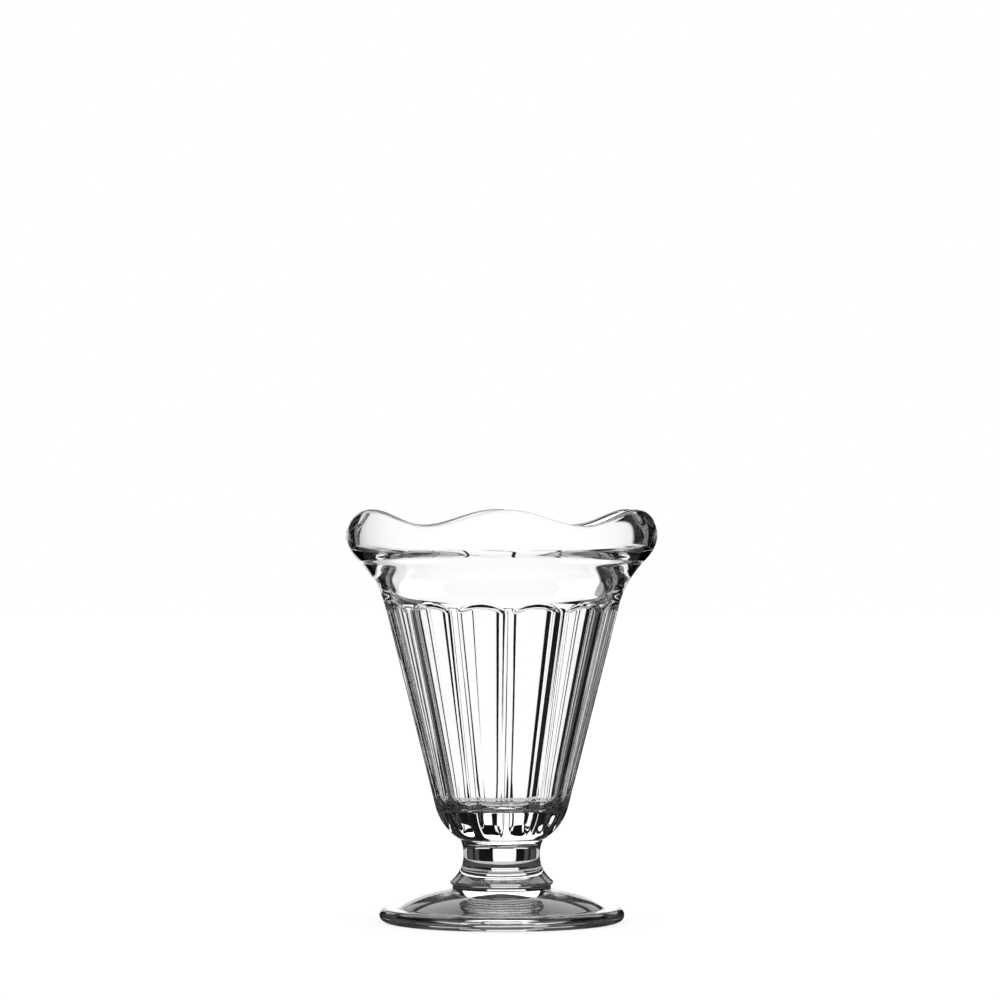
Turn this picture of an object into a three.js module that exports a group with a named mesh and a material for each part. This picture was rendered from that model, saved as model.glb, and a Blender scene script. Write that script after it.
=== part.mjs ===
// Footed dessert glass of clear pressed glass: a scalloped, fluted bowl on a waisted stem and a domed foot.
// The three pieces are fused while hot, face to face, so they meet at two flat welds and nothing moves.
// Millimetres, +Z up. The origin is on the table, at the centre of the foot.
import * as THREE from 'three';
import { mergeVertices } from 'three/addons/utils/BufferGeometryUtils.js';

// Foot: a round disc with a rounded rim, a dome and a short neck that takes the stem
const FOOT_DIAMETER = 75.7;
const FOOT_RIM_THICKNESS = 4.3;
const FOOT_RIM_WIDTH = 6.3;
const FOOT_DOME_RISE = 6.0;
const FOOT_DOME_SHOULDER = 5.75;
const FOOT_DOME_FALL = 1.73;
const FOOT_NECK_HEIGHT = 1.2;
const STANDING_RING_WIDTH = 4.0;
const UNDERSIDE_HOLLOW = 1.5;

// Stem: solid, drawn in at the waist, with a thin ring round its lower end
const STEM_FOOT_WELD_DIAMETER = 30.4;
const STEM_BOWL_WELD_DIAMETER = 27.1;
const STEM_RING_OVERHANG = 0.75;
const STEM_RING_THICKNESS = 1.1;
const STEM_WAIST_DIAMETER = 23.7;
const STEM_FLARE_HEIGHT = 7.6;
const STEM_FLARE_TURN = 3.2;
const STEM_WAIST_HEIGHT = 0.6;
const STEM_CUP_HEIGHT = 4.8;
const STEM_CUP_LIP = 1.0;

// Bowl, outside: round bottom, straight fluted body, plain flared neck and thick lip
const LIP_DIAMETER = 96.1;
const LIP_OVERHANG = 3.9;
const LIP_BULGE_HEIGHT = 8.2;
const LIP_SHOULDER_HEIGHT = 2.2;
const LIP_SHOULDER_INSET = 0.55;
const LIP_CROWN_HEIGHT = 0.65;
const NECK_FLARE = 7.95;
const NECK_HEIGHT = 13.8;
const NECK_TURN_HEIGHT = 7.6;
const BODY_HEIGHT = 61.6;
const BODY_FOOT_DIAMETER = 41.2;
const BOTTOM_HEIGHT = 10.0;
const BOTTOM_TURN_HEIGHT = 4.1;

// Bowl, inside: a thin wall that swells in the neck, a stacking ledge in the lip and a flat floor
const BODY_WALL = 2.2;
const HEEL_WALL = 2.4;
const NECK_SWELL = 1.3;
const NECK_SWELL_LEVEL = 10.0;
const NECK_SWELL_RISE = 10.0;
const NECK_SWELL_FALL = 9.0;
const LIP_WALL = 2.9;
const LEDGE_LEVEL = 17.2;
const LEDGE_DEPTH = 1.15;
const LEDGE_HEIGHT = 3.2;
const FLOOR_THICKNESS = 9.4;
const FLOOR_CORNER_RADIUS = 6.0;

// Scallops of the lip and flutes of the body; turns are in degrees from the front towards +X
const LOBES = 6;
const LOBE_TURN = 2.0;
const SCALLOP_DEPTH = 4.9;
const SCALLOP_MARGIN = 3.0;
const FLUTES = 13;
const FLUTE_TURN = 17.7;
const FLUTE_DEPTH = 1.09;
const RIB_WIDTH = 1.65;
const FLUTE_TOP_RISE = 1.1;
const FLUTE_TOP_ARCH = 2.0;
const FLUTE_SCOOP = 1.6;
const FLUTE_FOOT_MARGIN = 0.4;
const FLUTE_RUNOUT = 5.0;
const FLUTE_HEEL_DEPTH = 0.35;
const FLUTE_HEEL_DROP = 3.0;
const FLUTE_HEEL_BLEND = 9.0;

// Facets
const STEPS_PER_FLUTE = 5;
const ROUND_STEPS = 56;
const RIM_STEPS = 6;
const NECK_STEPS = 6;
const BEND_STEPS = 5;
const SMALL_BEND_STEPS = 4;

// Levels, stacked from the table up
const domeLevel = FOOT_RIM_THICKNESS + FOOT_DOME_RISE;
const footTop = domeLevel + FOOT_NECK_HEIGHT;
const ringLevel = footTop + STEM_RING_THICKNESS;
const waistFoot = ringLevel + STEM_FLARE_HEIGHT;
const waistTop = waistFoot + STEM_WAIST_HEIGHT;
const stemTop = waistTop + STEM_CUP_HEIGHT;
const bodyFoot = stemTop + BOTTOM_HEIGHT;
const bodyTop = bodyFoot + BODY_HEIGHT;
const lipEdge = bodyTop + NECK_HEIGHT;
const lipBulge = lipEdge + LIP_BULGE_HEIGHT;
const lipShoulder = lipBulge + LIP_SHOULDER_HEIGHT;
const lipTop = lipShoulder + LIP_CROWN_HEIGHT;

// Radii of the two welds
const footWeld = STEM_FOOT_WELD_DIAMETER / 2;
const bowlWeld = STEM_BOWL_WELD_DIAMETER / 2;

const { clamp, degToRad, smoothstep } = THREE.MathUtils;

const at = (radius, height) => new THREE.Vector2(radius, height);

// Points of a bend round a corner, without its first point
function bend(from, corner, to, steps = BEND_STEPS) {
  return new THREE.QuadraticBezierCurve(from, corner, to).getPoints(steps).slice(1);
}

// Points of a round, from one angle to another
function round(centre, width, height, fromAngle, toAngle, steps) {
  const clockwise = toAngle < fromAngle;
  const arc = new THREE.EllipseCurve(centre.x, centre.y, width, height, fromAngle, toAngle, clockwise);
  return arc.getPoints(steps);
}

// Turns a profile of radii and heights about the upright axis, with a column of points at each angle.
// move, where given, shifts a point by its row in the profile and its column.
function turned(name, profile, angles, move = (point) => point) {
  const geometry = new THREE.LatheGeometry(profile, angles.length);
  const position = geometry.getAttribute('position');
  for (let turn = 0; turn <= angles.length; turn += 1) {
    const column = turn % angles.length;
    profile.forEach((point, row) => {
      const { x: radius, y: height } = move(point, row, column);
      const across = radius * Math.sin(angles[column]);
      const forward = radius * Math.cos(angles[column]);
      position.setXYZ(turn * profile.length + row, across, height, forward);
    });
  }
  geometry.rotateX(Math.PI / 2);
  geometry.deleteAttribute('normal');
  geometry.deleteAttribute('uv');
  const closed = mergeVertices(geometry);
  closed.computeVertexNormals();
  const clear = { color: 0xe6efec, roughness: 0.04, metalness: 0, transparent: true, opacity: 0.35 };
  const mesh = new THREE.Mesh(closed, new THREE.MeshStandardMaterial(clear));
  mesh.name = name;
  return mesh;
}

const evenAngles = Array.from({ length: ROUND_STEPS }, (_, step) => (step * 2 * Math.PI) / ROUND_STEPS);

// Foot: stands on a flat ring round a shallow hollow, and its neck ends flat against the stem
function makeFoot() {
  const rimRound = FOOT_RIM_THICKNESS / 2;
  const rimCentre = at(FOOT_DIAMETER / 2 - rimRound, rimRound);
  const hollowTop = at(0, UNDERSIDE_HOLLOW);
  const hollowEdge = at(rimCentre.x - STANDING_RING_WIDTH, 0);
  const hollowCorner = at(hollowEdge.x / 2, UNDERSIDE_HOLLOW);
  const domeFoot = at(FOOT_DIAMETER / 2 - FOOT_RIM_WIDTH, FOOT_RIM_THICKNESS);
  const domeTop = at(footWeld, domeLevel);
  const shoulder = at(domeFoot.x - FOOT_DOME_SHOULDER, domeLevel - FOOT_DOME_FALL);
  const profile = [
    hollowTop,
    ...bend(hollowTop, hollowCorner, hollowEdge),
    ...round(rimCentre, rimRound, rimRound, -Math.PI / 2, Math.PI / 2, RIM_STEPS),
    domeFoot,
    ...bend(domeFoot, shoulder, domeTop),
    at(footWeld, footTop),
    at(0, footTop),
  ];
  return turned('foot', profile, evenAngles);
}

// Stem: flat against the foot below and the bowl above
function makeStem() {
  const waist = STEM_WAIST_DIAMETER / 2;
  const ringFoot = at(footWeld, footTop);
  const ringTop = at(footWeld + STEM_RING_OVERHANG, ringLevel);
  const profile = [
    at(0, footTop),
    ringFoot,
    ...bend(ringFoot, at(ringTop.x, footTop), ringTop, SMALL_BEND_STEPS),
    ...bend(ringTop, at(waist, ringLevel + STEM_FLARE_TURN), at(waist, waistFoot)),
    at(waist, waistTop),
    ...bend(at(waist, waistTop), at(waist, stemTop - STEM_CUP_LIP), at(bowlWeld, stemTop)),
    at(0, stemTop),
  ];
  return turned('stem', profile, evenAngles);
}

// Bowl: one pressed piece, open at the top
function makeBowl() {
  const bulge = at(LIP_DIAMETER / 2, lipBulge);
  const edge = at(bulge.x - LIP_OVERHANG, lipEdge);
  const bodyTopRadius = edge.x - NECK_FLARE;
  const slant = (bodyTopRadius - BODY_FOOT_DIAMETER / 2) / BODY_HEIGHT;
  const bodyAt = (height) => at(bodyTopRadius - slant * (bodyTop - height), height);
  const neckCorner = bodyAt(bodyTop + NECK_TURN_HEIGHT);
  const flareSlope = (edge.y - neckCorner.y) / (edge.x - neckCorner.x);
  const lipCorner = at(bulge.x, edge.y + flareSlope * LIP_OVERHANG);
  const neckAndLip = [
    ...bend(bodyAt(bodyTop), neckCorner, edge, NECK_STEPS),
    ...bend(edge, lipCorner, bulge, NECK_STEPS),
  ];
  const rimCentre = at(bulge.x - LIP_SHOULDER_INSET - LIP_WALL / 2, lipShoulder);

  // Outside, from the weld up and over the rim; the flutes are scooped out just under the neck
  const crown = bodyTop + FLUTE_TOP_RISE;
  const fluteFoot = stemTop + FLUTE_FOOT_MARGIN;
  const scoopFoot = crown - FLUTE_TOP_ARCH - FLUTE_SCOOP;
  const scoop = Array.from({ length: SMALL_BEND_STEPS }, (_, step) => (
    bodyAt(scoopFoot + ((bodyTop - scoopFoot) * step) / (SMALL_BEND_STEPS - 1))
  ));
  const outside = [
    at(bowlWeld, stemTop),
    ...bend(at(bowlWeld, stemTop), bodyAt(stemTop + BOTTOM_TURN_HEIGHT), bodyAt(bodyFoot)),
    ...scoop,
    ...neckAndLip,
    ...round(rimCentre, LIP_WALL / 2, LIP_CROWN_HEIGHT, 0, Math.PI, RIM_STEPS),
  ];

  // Level thickness of the wall in the neck and the lip
  const ledge = bodyTop + LEDGE_LEVEL;
  const swell = bodyTop + NECK_SWELL_LEVEL;
  const wallAt = (height) => {
    const rise = (height - bodyTop) / LEDGE_LEVEL;
    const plain = BODY_WALL + (LIP_WALL - BODY_WALL) * Math.min(rise, 1);
    const under = 1 - smoothstep(height, ledge - LEDGE_HEIGHT / 2, ledge + LEDGE_HEIGHT / 2);
    const swollen = height < swell
      ? smoothstep(height, swell - NECK_SWELL_RISE, swell)
      : 1 - smoothstep(height, swell, swell + NECK_SWELL_FALL);
    return plain + LEDGE_DEPTH * smoothstep(rise, 0, 1) * under + NECK_SWELL * swollen;
  };

  // Inside, from the lip down to the floor
  const floor = stemTop + FLOOR_THICKNESS;
  const cornerLevel = floor + FLOOR_CORNER_RADIUS;
  const cornerCentre = at(bodyAt(cornerLevel).x - HEEL_WALL - FLOOR_CORNER_RADIUS, cornerLevel);
  const corner = round(
    cornerCentre, FLOOR_CORNER_RADIUS, FLOOR_CORNER_RADIUS, 0, -Math.PI / 2, SMALL_BEND_STEPS,
  );
  const inside = [
    ...neckAndLip.toReversed().map((point) => at(point.x - wallAt(point.y), point.y)),
    at(bodyTopRadius - BODY_WALL, bodyTop),
    ...corner,
    at(0, floor),
  ];

  // Columns: one step across each rib, then even steps across each flute
  const pitch = (2 * Math.PI) / FLUTES;
  const rib = RIB_WIDTH / bodyTopRadius;
  const angles = [];
  const shares = [];
  for (let flute = 0; flute < FLUTES; flute += 1) {
    const ribEnd = degToRad(FLUTE_TURN) + (flute - 0.5) * pitch + rib / 2;
    angles.push(ribEnd - rib);
    shares.push(0);
    for (let step = 0; step < STEPS_PER_FLUTE; step += 1) {
      angles.push(ribEnd + ((pitch - rib) * step) / STEPS_PER_FLUTE);
      shares.push(step / STEPS_PER_FLUTE);
    }
  }

  // Depth of a flute: hollow across, arched at its top, deeper at the heel, and run out above the weld
  const fluteCut = (point, share) => {
    const aside = 2 * share - 1;
    const below = clamp((crown - FLUTE_TOP_ARCH * aside * aside - point.y) / FLUTE_SCOOP, 0, 1);
    const upper = 1 - (1 - below) ** 2;
    const lower = smoothstep(point.y, fluteFoot, fluteFoot + FLUTE_RUNOUT);
    const heelFoot = bodyFoot - FLUTE_HEEL_DROP;
    const heel = FLUTE_HEEL_DEPTH * (1 - smoothstep(point.y, heelFoot, heelFoot + FLUTE_HEEL_BLEND));
    return (FLUTE_DEPTH * (point.x / bodyTopRadius) + heel) * (1 - aside * aside) * upper * lower;
  };

  // Rise of the scallops: full at the top of the lip, none near its lower edge
  const scallop = (height, angle) => {
    const wave = 0.5 + 0.5 * Math.cos(LOBES * (angle - degToRad(LOBE_TURN)));
    return SCALLOP_DEPTH * wave * smoothstep(height, lipEdge + SCALLOP_MARGIN, lipTop);
  };

  // Flutes are cut square to the skin
  const profile = [at(0, stemTop), ...outside, ...inside];
  return turned('bowl', profile, angles, (point, row, column) => {
    const risen = point.y + scallop(point.y, angles[column]);
    const cut = fluteCut(point, shares[column]);
    if (row < 2 || point.y > crown || row > outside.length || cut === 0) return at(point.x, risen);
    const along = profile[row + 1].clone().sub(profile[row - 1]).normalize();
    return at(point.x - cut * along.y, point.y + cut * along.x);
  });
}

const dessertGlass = new THREE.Group();
dessertGlass.name = 'dessert_glass';
dessertGlass.add(makeFoot(), makeStem(), makeBowl());

export default dessertGlass;
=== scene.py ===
# Footed dessert glass of clear pressed glass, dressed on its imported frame.
# The order is the order of making: bowl, stem, foot, then the table, the studio and the camera.
import math

import bpy
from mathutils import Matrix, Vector
from mathutils.geometry import interpolate_bezier


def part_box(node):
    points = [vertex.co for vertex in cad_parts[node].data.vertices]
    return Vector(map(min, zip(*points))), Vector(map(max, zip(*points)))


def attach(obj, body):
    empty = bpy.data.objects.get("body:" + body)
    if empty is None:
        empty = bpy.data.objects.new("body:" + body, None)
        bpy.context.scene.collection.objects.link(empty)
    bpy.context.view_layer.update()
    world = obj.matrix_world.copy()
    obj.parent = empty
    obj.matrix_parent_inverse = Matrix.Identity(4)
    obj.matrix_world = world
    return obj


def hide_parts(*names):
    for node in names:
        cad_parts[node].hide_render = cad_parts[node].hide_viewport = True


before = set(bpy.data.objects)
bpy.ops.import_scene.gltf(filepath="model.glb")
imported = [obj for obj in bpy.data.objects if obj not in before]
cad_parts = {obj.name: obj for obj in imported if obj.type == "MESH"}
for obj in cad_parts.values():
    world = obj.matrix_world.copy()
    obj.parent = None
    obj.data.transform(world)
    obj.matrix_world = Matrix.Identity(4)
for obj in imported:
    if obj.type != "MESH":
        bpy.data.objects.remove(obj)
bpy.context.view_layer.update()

# Bowl
# Pressed in one stroke from a gob of clear soda-lime glass: the mould gives the flutes and the scallops,
# and a smooth plunger the inside. Fire-polished afterwards, so the surface is glossy and a little uneven.
# Radii and levels are in millimetres, and a pair of them is a point of the outline.
MM = 0.001
BOWL_WELD_RADIUS = 13.55
BOWL_WELD_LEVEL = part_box("bowl")[0][2] / MM
BOTTOM_CORNER = 29.7
BODY_FOOT = (20.6, 35.6)
BODY_TOP = (36.2, 97.2)
BODY_WALL = 2.2
NECK_CORNER = (38.12, 104.8)
NECK_SWELL = 1.3
NECK_SWELL_LEVEL = 107.2
NECK_SWELL_RISE = 10.0
NECK_SWELL_FALL = 9.0
LIP_EDGE = (44.15, 111.0)
LIP_CORNER = (48.05, 115.0)
LIP_BULGE = (48.05, 119.2)
LIP_SHOULDER = (47.5, 121.4)
LIP_TOP = 122.05
LIP_WALL = 2.9
LEDGE_LEVEL = 114.4
LEDGE_DEPTH = 1.15
LEDGE_HEIGHT = 3.2
FLOOR_LEVEL = 35.0
FLOOR_CORNER = 6.0
HEEL_WALL = 2.4

LOBES = 6
LOBE_TURN = math.radians(2.0)
CREST_RISE = 4.9
SCALLOP_FOOT = 114.0

FLUTES = 13
FLUTE_TURN = math.radians(17.7)
FLUTE_DEPTH = 1.09
FLUTE_FLATNESS = 0.24
FLUTE_CROWN = 98.3
FLUTE_ARCH = 2.0
FLUTE_SCOOP = 1.6
FLUTE_FOOT = 26.0
FLUTE_RUNOUT = 5.0
FLUTE_HEEL = 0.6
HEEL_DROP = 3.0
HEEL_HEIGHT = 9.0
RIB_WIDTH = 1.65
RIB_FILLET = 1.9
OUTSIDE_FACING = 0.2

BOWL_TURN_STEPS = FLUTES * 32
LIP_TOP_STEPS = 16
FLOOR_CORNER_STEPS = 10
MERGE_WITHIN = 0.004
SHARP_EDGE = math.radians(40)


def bend(start, corner, end, steps):
    """Points of a smooth bend round a corner, without its first point."""
    start, corner, end = (Vector((radius, 0.0, height)) for radius, height in (start, corner, end))
    points = interpolate_bezier(start, start.lerp(corner, 2 / 3), end.lerp(corner, 2 / 3), end, steps + 1)
    return [(point.x, point.z) for point in points[1:]]


def straight(start, end, steps):
    """Even points along a straight stretch, without its first point."""
    (r0, z0), (r1, z1) = start, end
    return [(r0 + (r1 - r0) * i / steps, z0 + (z1 - z0) * i / steps) for i in range(1, steps + 1)]


def ease(value):
    """A smooth ramp from 0 to 1."""
    value = min(max(value, 0.0), 1.0)
    return value * value * (3.0 - 2.0 * value)


def body_radius(height):
    """Outside of the straight taper, before the flutes are pressed."""
    slant = (BODY_TOP[0] - BODY_FOOT[0]) / (BODY_TOP[1] - BODY_FOOT[1])
    return BODY_TOP[0] - slant * (BODY_TOP[1] - height)


def neck_and_lip(neck_steps, lip_steps, bulge_steps=8):
    """The flared neck and the thick lip, from the top of the body to the shoulder of the rim."""
    bulge_corner = (LIP_BULGE[0], (LIP_BULGE[1] + LIP_SHOULDER[1]) / 2)
    return [
        *bend(BODY_TOP, NECK_CORNER, LIP_EDGE, neck_steps),
        *bend(LIP_EDGE, LIP_CORNER, LIP_BULGE, lip_steps),
        *bend(LIP_BULGE, bulge_corner, LIP_SHOULDER, bulge_steps),
    ]


def wall_at(height):
    """Level thickness of the wall: it swells in the neck and steps back at the stacking ledge."""
    rise = (height - BODY_TOP[1]) / (LEDGE_LEVEL - BODY_TOP[1])
    plain = BODY_WALL + (LIP_WALL - BODY_WALL) * min(rise, 1.0)
    ledge = LEDGE_DEPTH * ease(rise) * (1.0 - ease((height - LEDGE_LEVEL) / LEDGE_HEIGHT + 0.5))
    away = height - NECK_SWELL_LEVEL
    swell = 1.0 - ease(away / NECK_SWELL_FALL if away > 0.0 else -away / NECK_SWELL_RISE)
    return plain + ledge + NECK_SWELL * swell


def turn_outline(name, outline, steps):
    """Draws an outline by extruding one point along it, and spins it about the upright axis."""
    bpy.ops.object.select_all(action="DESELECT")
    bpy.ops.mesh.primitive_plane_add(size=MM)
    piece = bpy.context.object
    piece.name = piece.data.name = name
    bpy.ops.object.mode_set(mode="EDIT")
    bpy.ops.mesh.select_all(action="SELECT")
    bpy.ops.mesh.merge(type="CENTER")
    here = Vector((0.0, 0.0, 0.0))
    for index, (radius, height) in enumerate(outline):
        there = Vector((radius * MM, 0.0, height * MM))
        if index == 0:
            bpy.ops.transform.translate(value=there - here)
        else:
            bpy.ops.mesh.extrude_region_move(TRANSFORM_OT_translate={"value": there - here})
        here = there
    bpy.ops.mesh.select_all(action="SELECT")
    bpy.ops.mesh.spin(steps=steps, angle=2 * math.pi, center=(0, 0, 0), axis=(0, 0, 1))
    bpy.ops.mesh.select_all(action="SELECT")
    bpy.ops.mesh.remove_doubles(threshold=MERGE_WITHIN * MM)
    bpy.ops.mesh.normals_make_consistent(inside=False)
    bpy.ops.object.mode_set(mode="OBJECT")
    return piece


bowl_weld_edge = (BOWL_WELD_RADIUS, BOWL_WELD_LEVEL)
bottom_corner = (body_radius(BOTTOM_CORNER), BOTTOM_CORNER)
arch_level = FLUTE_CROWN - FLUTE_ARCH - FLUTE_SCOOP
arch_foot = (body_radius(arch_level), arch_level)

lip_round = LIP_WALL / 2
lip_middle = LIP_SHOULDER[0] - lip_round
lip_rise = LIP_TOP - LIP_SHOULDER[1]
lip_top = [
    (lip_middle + lip_round * math.cos(angle), LIP_SHOULDER[1] + lip_rise * math.sin(angle))
    for angle in (math.pi * i / LIP_TOP_STEPS for i in range(1, LIP_TOP_STEPS))
]

outside_of_wall = reversed(neck_and_lip(neck_steps=28, lip_steps=40))
inner_wall = [(radius - wall_at(height), height) for radius, height in outside_of_wall]
inner_wall.append((BODY_TOP[0] - BODY_WALL, BODY_TOP[1]))

corner_level = FLOOR_LEVEL + FLOOR_CORNER
corner_middle = body_radius(corner_level) - HEEL_WALL - FLOOR_CORNER
floor_corner = [
    (corner_middle + FLOOR_CORNER * math.cos(angle), corner_level - FLOOR_CORNER * math.sin(angle))
    for angle in (math.pi / 2 * i / FLOOR_CORNER_STEPS for i in range(FLOOR_CORNER_STEPS + 1))
]

bowl = turn_outline("glass_bowl", [
    (0.0, BOWL_WELD_LEVEL),
    bowl_weld_edge,
    *bend(bowl_weld_edge, bottom_corner, BODY_FOOT, steps=24),
    *straight(BODY_FOOT, arch_foot, steps=14),
    *straight(arch_foot, BODY_TOP, steps=12),
    *neck_and_lip(neck_steps=32, lip_steps=20),
    *lip_top,
    *inner_wall,
    *straight(inner_wall[-1], floor_corner[0], steps=10),
    *floor_corner[1:],
    *straight(floor_corner[-1], (0.0, FLOOR_LEVEL), steps=8),
], steps=BOWL_TURN_STEPS)


def flute_share(point, normal):
    """A shallow hollow between two ribs, arched at its top and shallower down the taper."""
    radius = math.hypot(point.x, point.y)
    outside = point.x * normal.x + point.y * normal.y >= OUTSIDE_FACING * radius
    if not outside or not FLUTE_FOOT < point.z < FLUTE_CROWN:
        return 0.0
    pitch = 2 * math.pi / FLUTES
    aside = ((math.atan2(point.x, -point.y) - FLUTE_TURN) / pitch + 0.5) % 1.0 - 0.5
    half = (pitch * radius - RIB_WIDTH) / 2
    across = abs(aside) * pitch * radius / half
    if across >= 1.0:
        return 0.0
    rounded = 1 - across ** 2
    filleted = ease((1 - across) * half / RIB_FILLET)
    hollow = (1 - FLUTE_FLATNESS) * rounded + FLUTE_FLATNESS * filleted
    below = min(max((FLUTE_CROWN - FLUTE_ARCH * across ** 2 - point.z) / FLUTE_SCOOP, 0.0), 1.0)
    upper = 1 - (1 - below) ** 2
    lower = ease((point.z - FLUTE_FOOT) / FLUTE_RUNOUT)
    heel = 1 + FLUTE_HEEL * (1 - ease((point.z - BODY_FOOT[1] + HEEL_DROP) / HEEL_HEIGHT))
    taper = radius / BODY_TOP[0]
    return min(hollow * upper * lower * heel * taper, 1.0)


def scallop_share(point, normal):
    """Six even waves, full at the top of the lip and none near its lower edge."""
    wave = 0.5 + 0.5 * math.cos(LOBES * (math.atan2(point.x, -point.y) - LOBE_TURN))
    return wave * ease((point.z - SCALLOP_FOOT) / (LIP_TOP - SCALLOP_FOOT))


def press(piece, name, direction, distance, share):
    """Moves the skin by a distance, as far as share() says at each point."""
    group = piece.vertex_groups.new(name=name)
    for vertex in piece.data.vertices:
        amount = share(vertex.co / MM, vertex.normal)
        if amount > 0.0:
            group.add([vertex.index], amount, "REPLACE")
    displace = piece.modifiers.new(name, "DISPLACE")
    displace.vertex_group = name
    displace.direction = direction
    displace.strength = distance * MM
    displace.mid_level = 0.0
    bpy.context.view_layer.objects.active = piece
    bpy.ops.object.modifier_apply(modifier=name)


press(bowl, "flutes", "NORMAL", -FLUTE_DEPTH, flute_share)
press(bowl, "scallops", "Z", CREST_RISE, scallop_share)
bpy.ops.object.shade_smooth_by_angle(angle=SHARP_EDGE)

GLASS_BENDING = 1.52
GREEN_CAST = (0.985, 0.995, 0.99, 1.0)
NO_CAST = (1.0, 1.0, 1.0, 1.0)
RIPPLES_PER_METRE = 60.0
RIPPLE_STRENGTH = 0.02
RIPPLE_HEIGHT = 1.0
MOST_HAZE = 0.002


def clear_glass(name):
    """Clear soda-lime glass: a faint green cast and the slight ripple of a pressed, fire-polished skin."""
    material = bpy.data.materials.new(name)
    material.use_nodes = True
    nodes, links = material.node_tree.nodes, material.node_tree.links
    shader = nodes["Principled BSDF"]
    shader.inputs["Transmission Weight"].default_value = 1.0
    shader.inputs["IOR"].default_value = GLASS_BENDING
    place = nodes.new("ShaderNodeTexCoord")
    ripple = nodes.new("ShaderNodeTexNoise")
    ripple.inputs["Scale"].default_value = RIPPLES_PER_METRE
    ripple.inputs["Detail"].default_value = 1.0
    links.new(place.outputs["Object"], ripple.inputs["Vector"])
    skin = nodes.new("ShaderNodeBump")
    skin.inputs["Strength"].default_value = RIPPLE_STRENGTH
    skin.inputs["Distance"].default_value = RIPPLE_HEIGHT * MM
    links.new(ripple.outputs["Fac"], skin.inputs["Height"])
    links.new(skin.outputs["Normal"], shader.inputs["Normal"])
    haze = nodes.new("ShaderNodeMapRange")
    haze.inputs["To Min"].default_value = 0.0
    haze.inputs["To Max"].default_value = MOST_HAZE
    links.new(ripple.outputs["Fac"], haze.inputs["Value"])
    links.new(haze.outputs["Result"], shader.inputs["Roughness"])
    cast = nodes.new("ShaderNodeMix")
    cast.data_type = "RGBA"
    cast.inputs["A"].default_value = GREEN_CAST
    cast.inputs["B"].default_value = NO_CAST
    links.new(ripple.outputs["Fac"], cast.inputs["Factor"])
    links.new(cast.outputs["Result"], shader.inputs["Base Color"])
    return material


def fused_weld():
    """The inside of a hot weld, where glass runs on into glass and light goes straight through."""
    material = bpy.data.materials.new("fused_weld")
    material.use_nodes = True
    nodes, links = material.node_tree.nodes, material.node_tree.links
    nodes.remove(nodes["Principled BSDF"])
    clear = nodes.new("ShaderNodeBsdfTransparent")
    links.new(clear.outputs["BSDF"], nodes["Material Output"].inputs["Surface"])
    return material


SAME_LEVEL = 0.01
LEVEL_FACE = 0.999


def dress(piece, node, weld_levels):
    """Gives a piece its glass, its welds and its place in the frame."""
    piece.data.materials.append(glass)
    piece.data.materials.append(weld)
    for face in piece.data.polygons:
        at_weld = any(abs(face.center.z / MM - weld_level) < SAME_LEVEL for weld_level in weld_levels)
        face.material_index = 1 if at_weld and abs(face.normal.z) > LEVEL_FACE else 0
    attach(piece, "root")
    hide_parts(node)


glass = clear_glass("clear_glass")
weld = fused_weld()
dress(bowl, "bowl", [BOWL_WELD_LEVEL])

# Stem
# A short solid stem of the same glass, drawn in at the waist, with a thin ring round its lower end.
# It is fused hot to the bowl above and the foot below.
FOOT_WELD_RADIUS = 15.2
FOOT_WELD_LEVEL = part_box("stem")[0][2] / MM
RING_TOP = (15.95, 12.6)
WAIST_RADIUS = 11.85
FLARE_CORNER = 15.8
WAIST_FOOT = 20.2
WAIST_TOP = 20.8
CUP_CORNER = 24.6
STEM_TURN_STEPS = 192

foot_weld_edge = (FOOT_WELD_RADIUS, FOOT_WELD_LEVEL)
waist_foot = (WAIST_RADIUS, WAIST_FOOT)
waist_top = (WAIST_RADIUS, WAIST_TOP)
stem = turn_outline("glass_stem", [
    (0.0, FOOT_WELD_LEVEL),
    foot_weld_edge,
    *bend(foot_weld_edge, (RING_TOP[0], FOOT_WELD_LEVEL), RING_TOP, steps=10),
    *bend(RING_TOP, (WAIST_RADIUS, FLARE_CORNER), waist_foot, steps=26),
    *straight(waist_foot, waist_top, steps=3),
    *bend(waist_top, (WAIST_RADIUS, CUP_CORNER), bowl_weld_edge, steps=22),
    (0.0, BOWL_WELD_LEVEL),
], steps=STEM_TURN_STEPS)
bpy.ops.object.shade_smooth_by_angle(angle=SHARP_EDGE)
dress(stem, "stem", [FOOT_WELD_LEVEL, BOWL_WELD_LEVEL])

# Foot
# A pressed disc of the same glass with a rounded rim and a low dome, standing on a ring round a shallow
# hollow whose skin is dull and ringed. Its short neck is fused to the ring of the stem.
FOOT_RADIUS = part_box("foot")[1][0] / MM
RIM_THICKNESS = 4.3
DOME_FOOT = (31.55, 4.3)
DOME_SHOULDER = (25.8, 8.57)
DOME_TOP = (15.2, 10.3)
STANDING_RING = 4.0
HOLLOW = 1.5
RIM_STEPS = 22
FOOT_TURN_STEPS = 256

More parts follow.
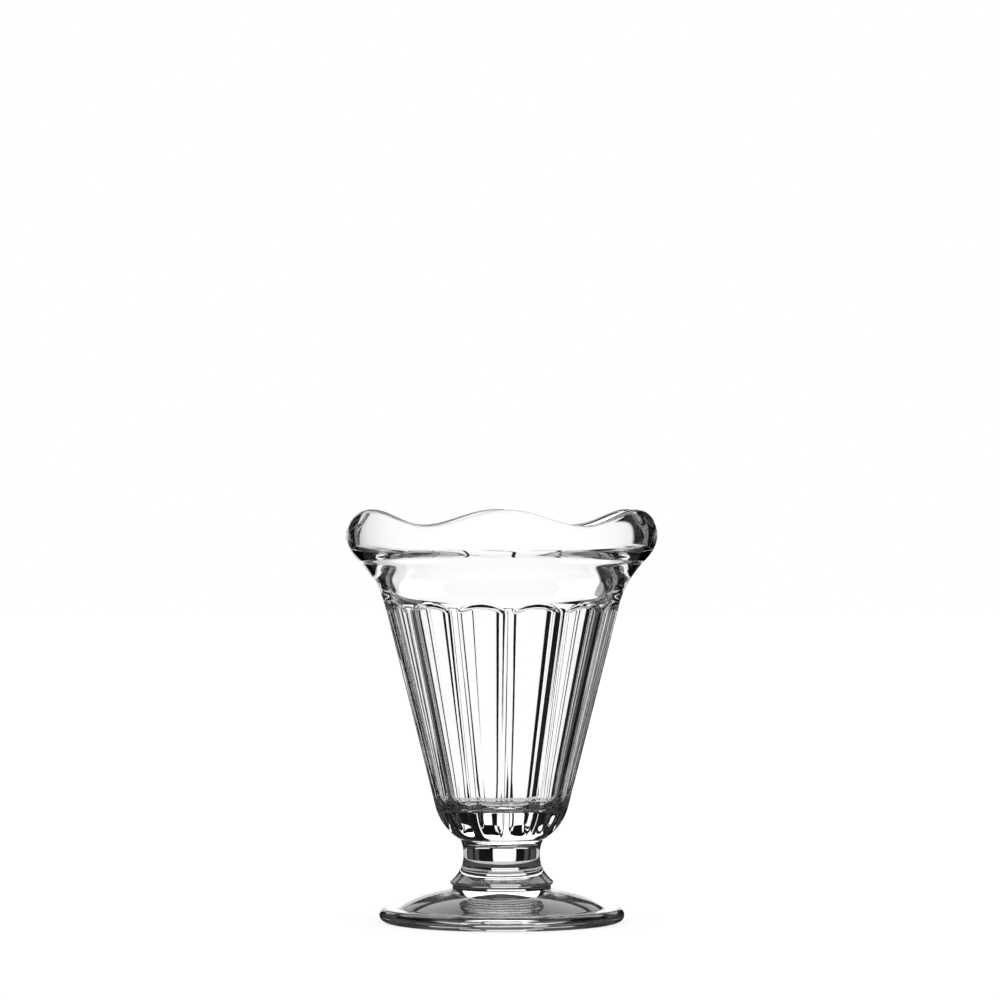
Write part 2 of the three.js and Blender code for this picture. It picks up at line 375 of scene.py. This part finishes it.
rim_round = RIM_THICKNESS / 2
rim_middle = FOOT_RADIUS - rim_round
rim = [
    (rim_middle + rim_round * math.sin(angle), rim_round - rim_round * math.cos(angle))
    for angle in (math.pi * i / RIM_STEPS for i in range(1, RIM_STEPS + 1))
]
hollow_edge = rim_middle - STANDING_RING
foot = turn_outline("glass_foot", [
    (0.0, HOLLOW),
    *bend((0.0, HOLLOW), (hollow_edge / 2, HOLLOW), (hollow_edge, 0.0), steps=20),
    *straight((hollow_edge, 0.0), (rim_middle, 0.0), steps=4),
    *rim,
    *straight((rim_middle, RIM_THICKNESS), DOME_FOOT, steps=4),
    *bend(DOME_FOOT, DOME_SHOULDER, DOME_TOP, steps=30),
    foot_weld_edge,
    (0.0, FOOT_WELD_LEVEL),
], steps=FOOT_TURN_STEPS)
bpy.ops.object.shade_smooth_by_angle(angle=SHARP_EDGE)
dress(foot, "foot", [FOOT_WELD_LEVEL])

DULL_FROM = 12.0
DULL_TO = 27.0
LEAST_DULL = 0.06
MOST_DULL = 0.24
RING_MARKS_SCALE = 200.0
RING_MARKS_WANDER = 2.0
DOWN_FACING = -0.9


def dull_underside():
    """The same glass with the dull rings that its mould leaves in the hollow of the foot."""
    material = clear_glass("dull_underside")
    nodes, links = material.node_tree.nodes, material.node_tree.links
    ring_marks = nodes.new("ShaderNodeTexWave")
    ring_marks.wave_type = "RINGS"
    ring_marks.rings_direction = "Z"
    ring_marks.inputs["Scale"].default_value = RING_MARKS_SCALE
    ring_marks.inputs["Distortion"].default_value = RING_MARKS_WANDER
    place = nodes.new("ShaderNodeTexCoord")
    links.new(place.outputs["Object"], ring_marks.inputs["Vector"])
    dullness = nodes.new("ShaderNodeMapRange")
    dullness.inputs["To Min"].default_value = LEAST_DULL
    dullness.inputs["To Max"].default_value = MOST_DULL
    links.new(ring_marks.outputs["Fac"], dullness.inputs["Value"])
    links.new(dullness.outputs["Result"], nodes["Principled BSDF"].inputs["Roughness"])
    return material


foot.data.materials.append(dull_underside())
for face in foot.data.polygons:
    under = face.center.z / MM <= HOLLOW + SAME_LEVEL and face.normal.z < DOWN_FACING
    if under and DULL_FROM < face.center.xy.length / MM < DULL_TO:
        face.material_index = 2

# Table
# A plain white table top, wide enough to fill every view.
# It shows white to the camera, and keeps the glass's soft shadow.
TABLE_SIZE = 8.0
TABLE_GREY = (0.3, 0.3, 0.3, 1.0)
TABLE_ROUGHNESS = 0.9
TABLE_LIFT = 0.75
WHITE = (1.0, 1.0, 1.0, 1.0)


def white_table_top():
    """A matt top, lifted to white where the camera sees it."""
    material = bpy.data.materials.new("white_table_top")
    material.use_nodes = True
    nodes, links = material.node_tree.nodes, material.node_tree.links
    shader = nodes["Principled BSDF"]
    shader.inputs["Base Color"].default_value = TABLE_GREY
    shader.inputs["Roughness"].default_value = TABLE_ROUGHNESS
    shader.inputs["Specular IOR Level"].default_value = 0.0
    shader.inputs["Emission Color"].default_value = WHITE
    seen = nodes.new("ShaderNodeLightPath")
    lift = nodes.new("ShaderNodeMath")
    lift.operation = "MULTIPLY"
    lift.inputs[1].default_value = TABLE_LIFT
    links.new(seen.outputs["Is Camera Ray"], lift.inputs[0])
    links.new(lift.outputs["Value"], shader.inputs["Emission Strength"])
    return material


bpy.ops.object.select_all(action="DESELECT")
bpy.ops.mesh.primitive_plane_add(size=TABLE_SIZE)
table = bpy.context.object
table.name = "table"
table.visible_transmission = False
table.visible_glossy = False
table.data.materials.append(white_table_top())

# Studio
# A white room for the eye and for soft light. The glass sees it as a photographer lights glass: a bright
# screen behind it, lit panels above, below and round it, and black gaps between them that draw its edges.
# Angles are in degrees. Round the glass, 0 is straight behind it, seen from the front.
PANEL_SOFTNESS = 1.0
LEVEL_LOW = -20.0
LEVEL_HIGH = 16.0
SCREEN_MIDDLE = -3.2
SCREEN_HALF = 12.5
SCREEN_LIGHT = 1.2
WING_MIDDLE = 24.0
WING_HALF = 11.0
WING_HIGH = 28.0
UPPER_HALF = 60.0
UPPER_LOW = 32.0
UPPER_HIGH = 64.0
UPPER_LIGHT = 2.0
ALL_ROUND = 200.0
BELOW_LOW = -91.0
BELOW_LIGHT = 0.7
NARROW_WINDOW_MIDDLE = 30.0
NARROW_WINDOW_HALF = 4.0
WIDE_WINDOW_MIDDLE = 45.0
WIDE_WINDOW_HALF = 8.0
WINDOW_LIGHT = 0.7
ROOM_MIDDLE = 180.0
ROOM_HALF = 124.0
ROOM_HIGH = 20.0
ROOM_LIGHT = 0.8
GAP_LIGHT = 0.002
STEM_SHARE = 0.1
MIRRORED_SHARE = 0.1
BOTH_WALLS = 2.5
TWICE = 1.5

studio = bpy.data.worlds.new("studio")
bpy.context.scene.world = studio
studio.use_nodes = True
studio_nodes, studio_links = studio.node_tree.nodes, studio.node_tree.links


def figure(operation, *values):
    """One sum on the studio's directions."""
    node = studio_nodes.new("ShaderNodeMath")
    node.operation = operation
    for socket, value in zip(node.inputs, values):
        if isinstance(value, (int, float)):
            socket.default_value = value
        else:
            studio_links.new(value, socket)
    return node.outputs["Value"]


def within(value, low, high):
    """1 between two angles, with soft ends."""
    softness = math.radians(PANEL_SOFTNESS)
    rise = figure("DIVIDE", figure("SUBTRACT", value, math.radians(low)), softness)
    fall = figure("DIVIDE", figure("SUBTRACT", math.radians(high), value), softness)
    return figure("MINIMUM", figure("MAXIMUM", figure("MINIMUM", rise, fall), 0.0), 1.0)


direction = studio_nodes.new("ShaderNodeTexCoord")
direction_parts = studio_nodes.new("ShaderNodeSeparateXYZ")
studio_links.new(direction.outputs["Generated"], direction_parts.inputs["Vector"])
round_angle = figure("ARCTAN2", direction_parts.outputs["X"], direction_parts.outputs["Y"])
height_angle = figure("ARCSINE", direction_parts.outputs["Z"])


def panel(middle, half, low, high, light):
    """A lit panel: its middle and half its width round the glass, and its lower and upper edge."""
    across = figure("WRAP", figure("SUBTRACT", round_angle, math.radians(middle)), math.pi, -math.pi)
    side_to_side = within(across, -half, half)
    up_and_down = within(height_angle, low, high)
    return figure("MULTIPLY", figure("MULTIPLY", side_to_side, up_and_down), light)


def dimmed(condition, remaining):
    """1 where a condition is 0, and what remains of the light where it is 1."""
    return figure("SUBTRACT", 1.0, figure("MULTIPLY", condition, 1.0 - remaining))


# Light mirrored inside the glass, or gone through the stem or foot alone, sees some panels dimmer
light_path = studio_nodes.new("ShaderNodeLightPath")
mirrored = figure("MINIMUM", light_path.outputs["Glossy Depth"], 1.0)
mirrored_twice = figure("GREATER_THAN", light_path.outputs["Glossy Depth"], TWICE)
through_bowl = figure("GREATER_THAN", light_path.outputs["Transmission Depth"], BOTH_WALLS)
straight_on = dimmed(mirrored, MIRRORED_SHARE)
once_at_most = dimmed(mirrored_twice, MIRRORED_SHARE)
straight_through_bowl = figure("MULTIPLY", figure("MAXIMUM", through_bowl, STEM_SHARE), straight_on)

screen_panel = panel(SCREEN_MIDDLE, SCREEN_HALF, LEVEL_LOW, LEVEL_HIGH, SCREEN_LIGHT)
upper_panel = panel(0.0, UPPER_HALF, UPPER_LOW, UPPER_HIGH, UPPER_LIGHT)
below_panel = panel(0.0, ALL_ROUND, BELOW_LOW, LEVEL_LOW, BELOW_LIGHT)
room_panel = panel(ROOM_MIDDLE, ROOM_HALF, LEVEL_LOW, ROOM_HIGH, ROOM_LIGHT)
lit_panels = [
    screen_panel,
    figure("MULTIPLY", upper_panel, once_at_most),
    figure("MULTIPLY", below_panel, straight_on),
    figure("MULTIPLY", room_panel, straight_on),
]
for side in (-1, 1):
    lit_panels.append(panel(side * WING_MIDDLE, WING_HALF, LEVEL_HIGH, WING_HIGH, SCREEN_LIGHT))
    for middle, half in (
        (NARROW_WINDOW_MIDDLE, NARROW_WINDOW_HALF),
        (WIDE_WINDOW_MIDDLE, WIDE_WINDOW_HALF),
    ):
        window = panel(side * middle, half, LEVEL_LOW, LEVEL_HIGH, WINDOW_LIGHT)
        lit_panels.append(figure("MULTIPLY", window, straight_through_bowl))
glass_sees = GAP_LIGHT
for lit in lit_panels:
    glass_sees = figure("MAXIMUM", glass_sees, lit)

by_glass = figure("MAXIMUM", light_path.outputs["Is Glossy Ray"], light_path.outputs["Is Transmission Ray"])
by_glass = figure("MULTIPLY", by_glass, figure("SUBTRACT", 1.0, light_path.outputs["Is Camera Ray"]))
strength = figure("ADD", figure("MULTIPLY", by_glass, figure("SUBTRACT", glass_sees, 1.0)), 1.0)
background = studio_nodes["Background"]
background.inputs["Color"].default_value = WHITE
studio_links.new(strength, background.inputs["Strength"])

# Camera
# A long lens, level with the lip, straight in front.
# Its height puts the glass low in the picture, as the photograph has it.
PHOTO_WIDTH = 1000
PIXEL = 0.308 * MM
DISTANCE = 1.46
CAMERA_ASIDE = -0.0005
CAMERA_HEIGHT = 0.1298
SENSOR = 36.0
FAR_LIMIT = 50.0
GLASS_BOUNCES = 24
MIRROR_BOUNCES = 16

bpy.ops.object.camera_add(
    location=(CAMERA_ASIDE, -DISTANCE, CAMERA_HEIGHT),
    rotation=(math.pi / 2, 0.0, 0.0),
)
camera = bpy.context.object
camera.data.sensor_width = SENSOR
camera.data.lens = SENSOR * DISTANCE / (PHOTO_WIDTH * PIXEL)
camera.data.clip_end = FAR_LIMIT
bpy.context.scene.camera = camera
bpy.context.scene.view_settings.view_transform = "Standard"
bounces = bpy.context.scene.cycles
bounces.max_bounces = GLASS_BOUNCES
bounces.transmission_bounces = GLASS_BOUNCES
bounces.glossy_bounces = MIRROR_BOUNCES
